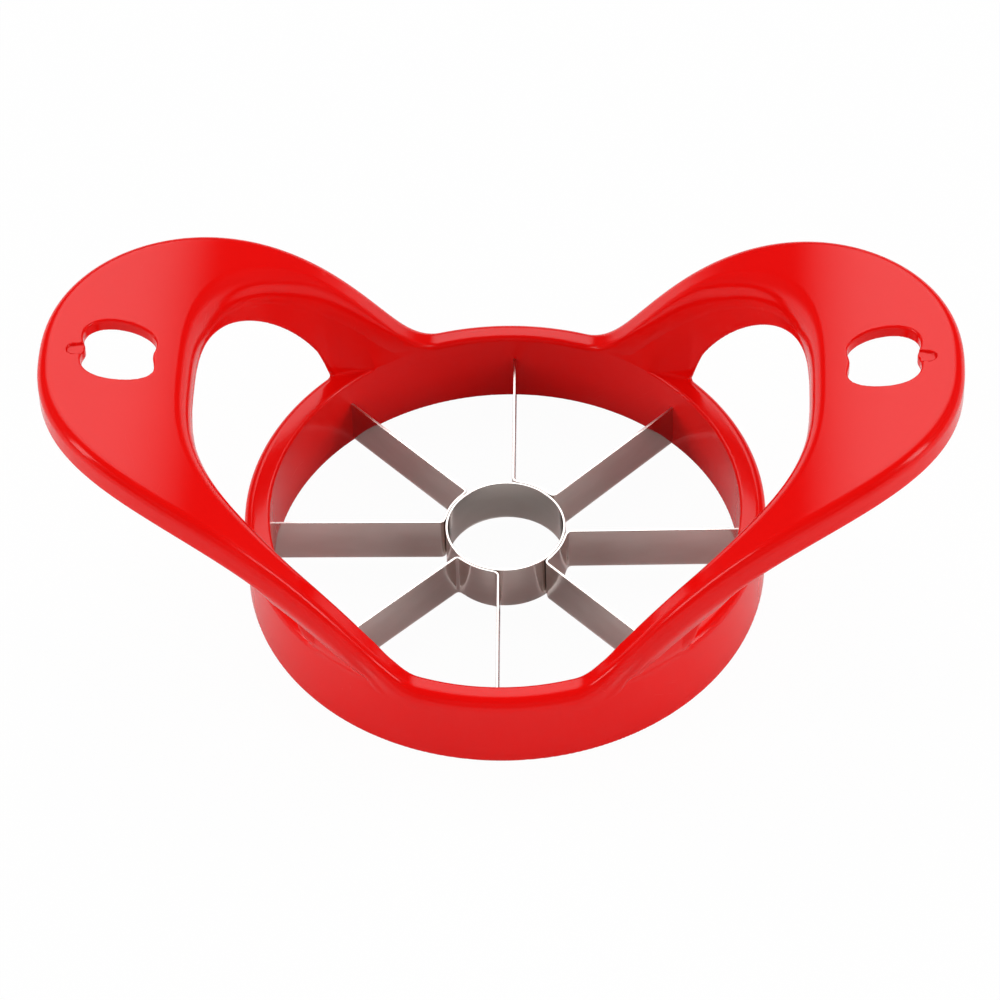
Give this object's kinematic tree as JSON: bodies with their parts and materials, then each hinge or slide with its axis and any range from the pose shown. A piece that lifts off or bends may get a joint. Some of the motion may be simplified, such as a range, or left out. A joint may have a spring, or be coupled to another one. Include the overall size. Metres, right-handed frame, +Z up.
{
  "type": "fruit slicer",
  "caption": "Push-down fruit slicer and corer: a round ring with two upswept handle wings, holding radial steel blades round a core ring.",
  "frame": {"origin": "centre of the ring on the face that it stands on", "axes": "+Z up out of the ring's mouth, +X along the two handle wings"},
  "size_m": [0.1858, 0.108, 0.063],
  "materials": {
    "red_plastic": "glossy moulded red",
    "blade_steel": "fine brushed sheet"
  },
  "bodies": {
    "root": {"handle_frame": "red_plastic", "core_ring": "blade_steel", "blade_strip_back": "blade_steel", "blade_strip_right": "blade_steel", "blade_strip_front": "blade_steel", "blade_strip_left": "blade_steel"}
  },
  "joints": []
}
